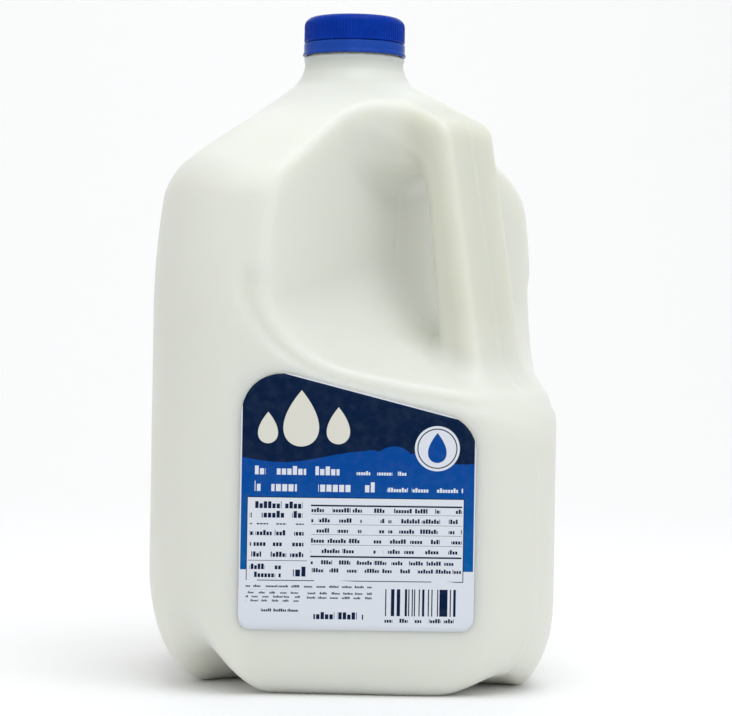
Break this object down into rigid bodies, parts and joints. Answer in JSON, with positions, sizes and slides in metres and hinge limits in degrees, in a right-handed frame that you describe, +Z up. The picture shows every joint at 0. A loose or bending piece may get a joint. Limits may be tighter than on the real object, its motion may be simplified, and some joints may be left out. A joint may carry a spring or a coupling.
{
  "type": "plastic milk jug",
  "caption": "Full, shut blow-moulded milk jug: square body, handle grown out of one corner, ribbed screw cap, tamper band and a flat film label.",
  "frame": {"origin": "on the floor under the neck's axis, in the middle of the base", "axes": "+Z up along the neck; the label faces -Y and the handle stands at the corner between +X and -Y"},
  "size_m": [0.1516, 0.1522, 0.2565],
  "materials": {
    "jug_plastic": "satin, milky, filled with milk",
    "cap_plastic": "semi-gloss blue",
    "label_film": "printed film in blues and white"
  },
  "bodies": {
    "root": {"jug": "jug_plastic", "cap": "cap_plastic", "tamper_band": "cap_plastic", "label": "label_film"}
  },
  "joints": []
}
